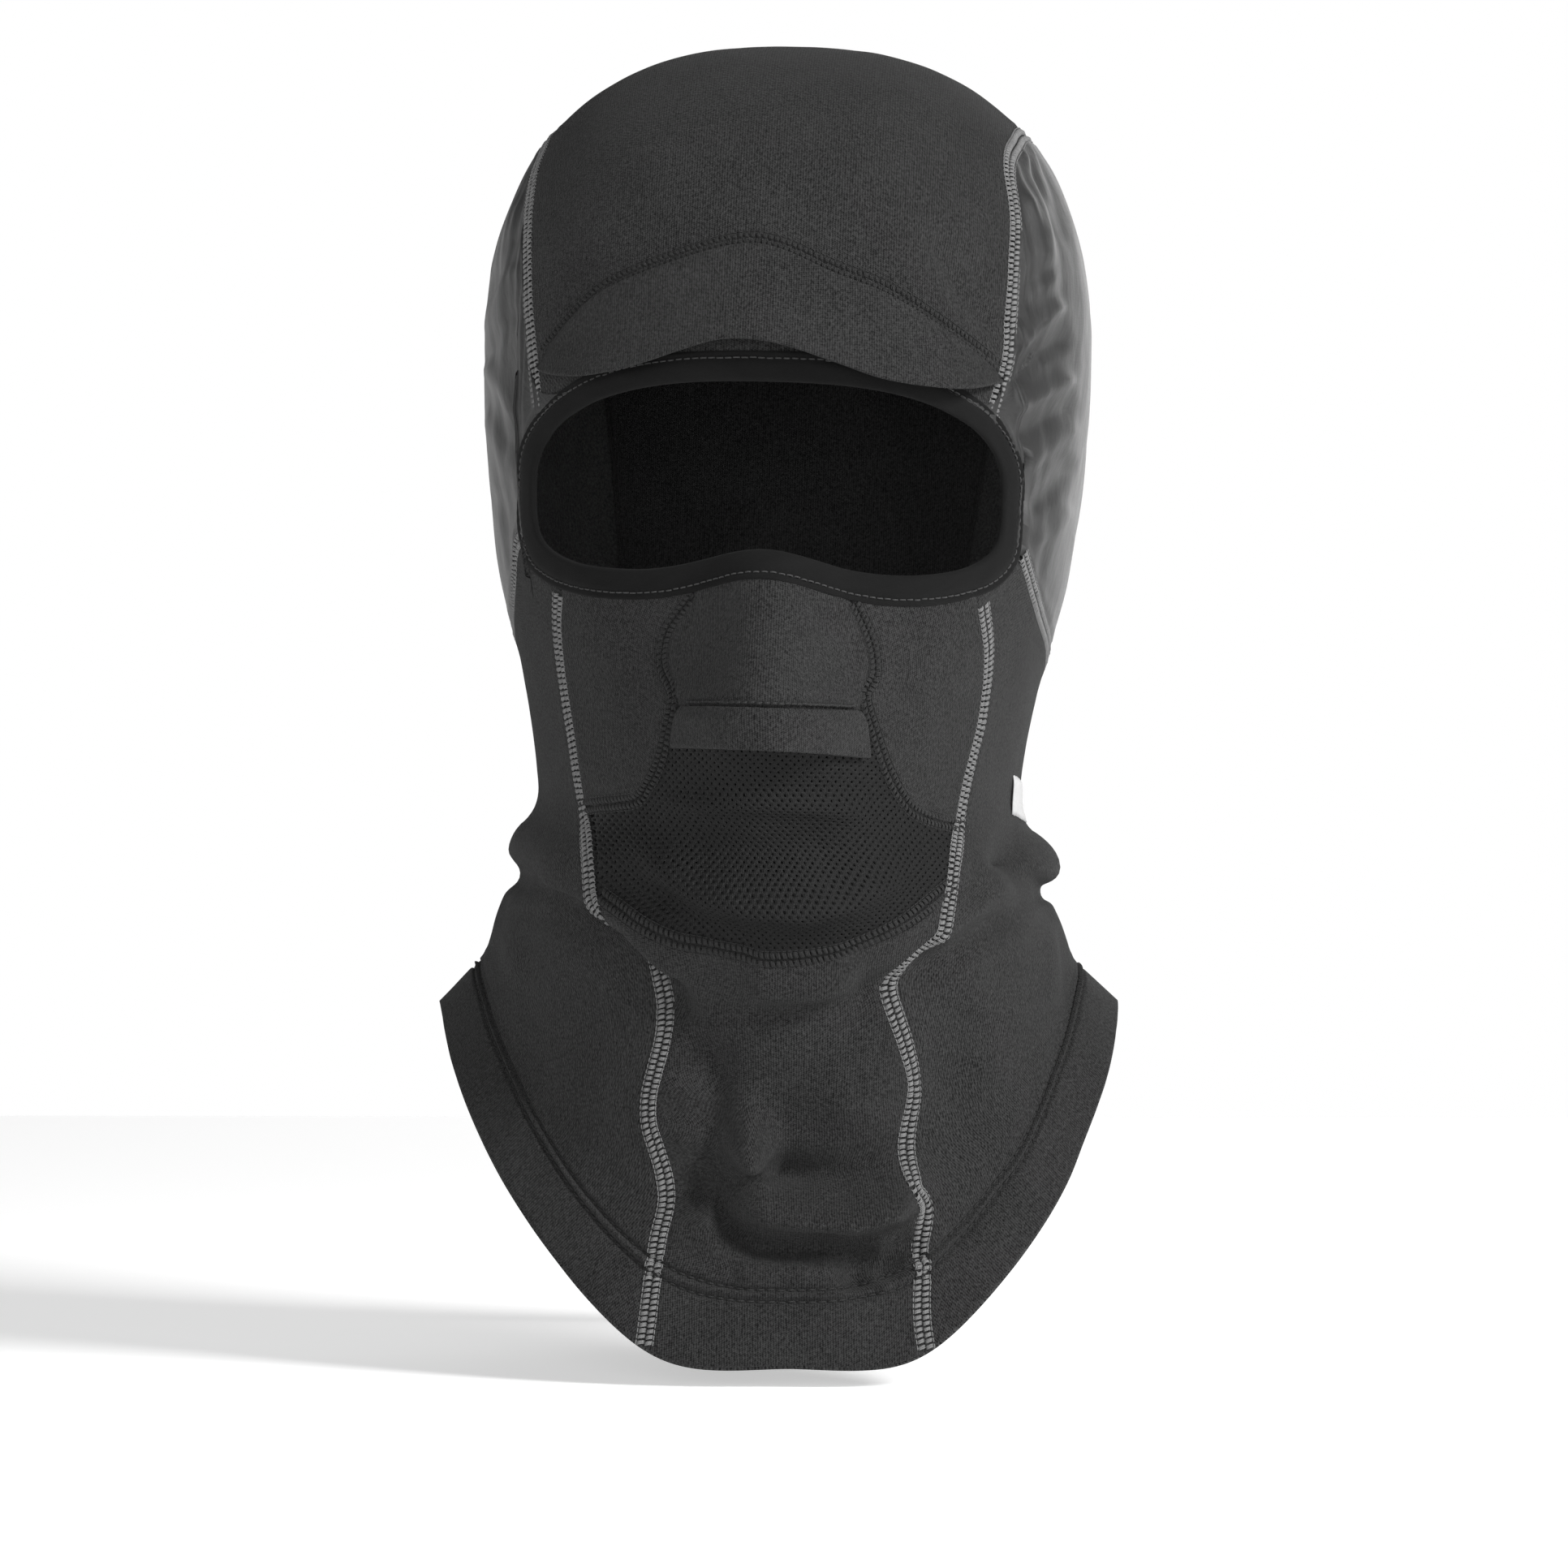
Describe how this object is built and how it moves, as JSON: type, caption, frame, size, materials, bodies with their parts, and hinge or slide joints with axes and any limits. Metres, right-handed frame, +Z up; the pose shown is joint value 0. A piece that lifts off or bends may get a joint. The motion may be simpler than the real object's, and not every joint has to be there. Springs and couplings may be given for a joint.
{
  "type": "balaclava",
  "caption": "Stretch-fleece balaclava in its worn shape, with an oval face opening, a soft peak, a nose flap over a mouth mesh and a shaped neck bib.",
  "frame": {"origin": "centre of the wearer's head on the eye line", "axes": "+Z up, the face looks along -Y, +X is the wearer's left"},
  "size_m": [0.18, 0.2328, 0.3432],
  "materials": {
    "badge": "plain satin-stitch embroidery",
    "binding": "soft black elastic binding",
    "dark_thread": "polyester thread",
    "fleece": "matt brushed stretch knit",
    "insert": "thin springy foam sheet",
    "label": "blank woven label",
    "light_thread": "polyester thread",
    "lining": "light matt knit",
    "mesh": "open warp-knit mesh",
    "windproof": "tightly woven nylon, faint sheen"
  },
  "bodies": {
    "hood": {"crown_panel": "fleece", "side_panel_left": "windproof", "side_panel_right": "windproof", "side_lining_left": "lining", "side_lining_right": "lining", "neck_side_left": "fleece", "neck_side_right": "fleece", "back_neck_panel": "fleece", "throat_panel": "fleece", "hem_facing": "fleece", "cheek_panel_left": "fleece", "cheek_panel_right": "fleece", "nose_panel": "fleece", "mouth_mesh": "mesh", "face_trim": "binding", "crown_seam_left": "light_thread", "crown_seam_right": "light_thread", "jaw_seam_left": "light_thread", "jaw_seam_right": "light_thread", "nape_seam": "light_thread", "front_seam_left": "light_thread", "front_seam_right": "light_thread", "back_seam_left": "light_thread", "back_seam_right": "light_thread", "cheek_seam_left": "dark_thread", "cheek_seam_right": "dark_thread", "mesh_seam": "dark_thread", "peak_seam": "dark_thread", "nose_flap_stitch": "dark_thread", "trim_stitch": "dark_thread", "hem_stitch_upper": "dark_thread", "hem_stitch_lower": "dark_thread", "neck_badge": "badge", "care_label": "label"},
    "peak": {"peak_outer": "fleece", "peak_insert": "insert", "peak_lining": "lining"},
    "nose_flap": {"nose_flap": "fleece"}
  },
  "joints": [
    {"name": "peak_lift", "type": "hinge", "parent": "hood", "child": "peak", "pos_m": [0, -0.0955, 0.072], "axis": [-1, 0, 0], "range_deg": [0, 50], "stiffness_Nm_per_rad": 0.02},
    {"name": "nose_flap_lift", "type": "hinge", "parent": "hood", "child": "nose_flap", "pos_m": [0, -0.123, -0.0455], "axis": [-1, 0, 0], "range_deg": [0, 60], "stiffness_Nm_per_rad": 0.004}
  ]
}
